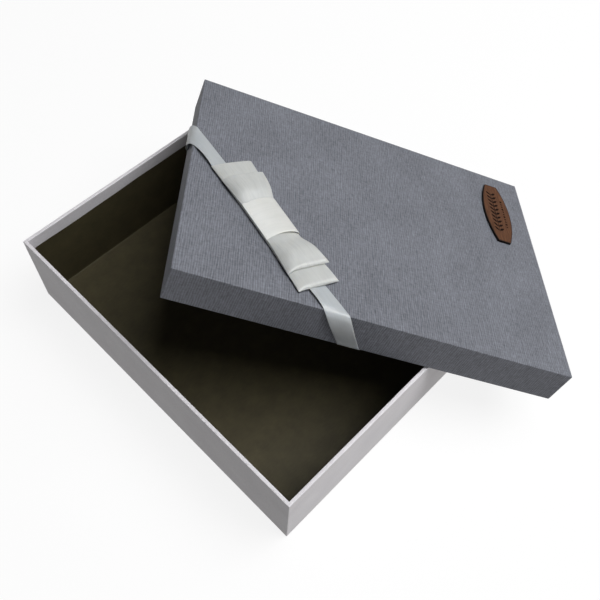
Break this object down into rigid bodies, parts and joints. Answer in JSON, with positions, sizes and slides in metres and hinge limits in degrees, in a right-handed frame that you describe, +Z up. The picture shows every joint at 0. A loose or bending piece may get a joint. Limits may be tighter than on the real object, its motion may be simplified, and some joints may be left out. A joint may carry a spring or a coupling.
{
  "type": "gift box",
  "caption": "Rectangular gift box: white paper-covered tray with a dark lining, and a grey linen-textured lift-off lid leaning on it, with a satin ribbon, a flat bow and a wooden plaque.",
  "frame": {"origin": "middle of the tray's underside, on the surface it rests on", "axes": "+X along the tray's long side, +Y towards its back, +Z up out of the open tray"},
  "size_m": [0.3807, 0.3803, 0.1743],
  "materials": {
    "greyboard": "matt grey recycled board",
    "stay_tape": "matt kraft paper tape",
    "white_paper": "uncoated white cover paper",
    "dark_lining": "matt olive-brown lining paper",
    "linen_paper": "grey paper embossed with a linen weave",
    "satin_ribbon": "cream satin, soft sheen",
    "plaque_wood": "laser-cut wood with a scorched edge",
    "glue": "clear glue film"
  },
  "bodies": {
    "tray": {"tray_floor_board": "greyboard", "tray_front_board": "greyboard", "tray_back_board": "greyboard", "tray_left_board": "greyboard", "tray_right_board": "greyboard", "tray_corner_stays": "stay_tape", "tray_outer_wrap": "white_paper", "tray_underside_sheet": "white_paper", "tray_wall_lining": "dark_lining", "tray_floor_lining": "dark_lining"},
    "lid": {"lid_top_board": "greyboard", "lid_front_board": "greyboard", "lid_back_board": "greyboard", "lid_left_board": "greyboard", "lid_right_board": "greyboard", "lid_corner_stays": "stay_tape", "lid_linen_wrap": "linen_paper", "lid_lining": "dark_lining", "ribbon_band": "satin_ribbon", "bow_lower_loop": "satin_ribbon", "bow_upper_loop": "satin_ribbon", "bow_centre_band": "satin_ribbon", "bow_glue_pad": "glue", "plaque": "plaque_wood", "plaque_adhesive": "glue"}
  },
  "joints": [
    {"name": "lid_lift", "type": "slide", "parent": "tray", "child": "lid", "axis": [0, 0, 1], "range_m": [0, 0.15]}
  ]
}
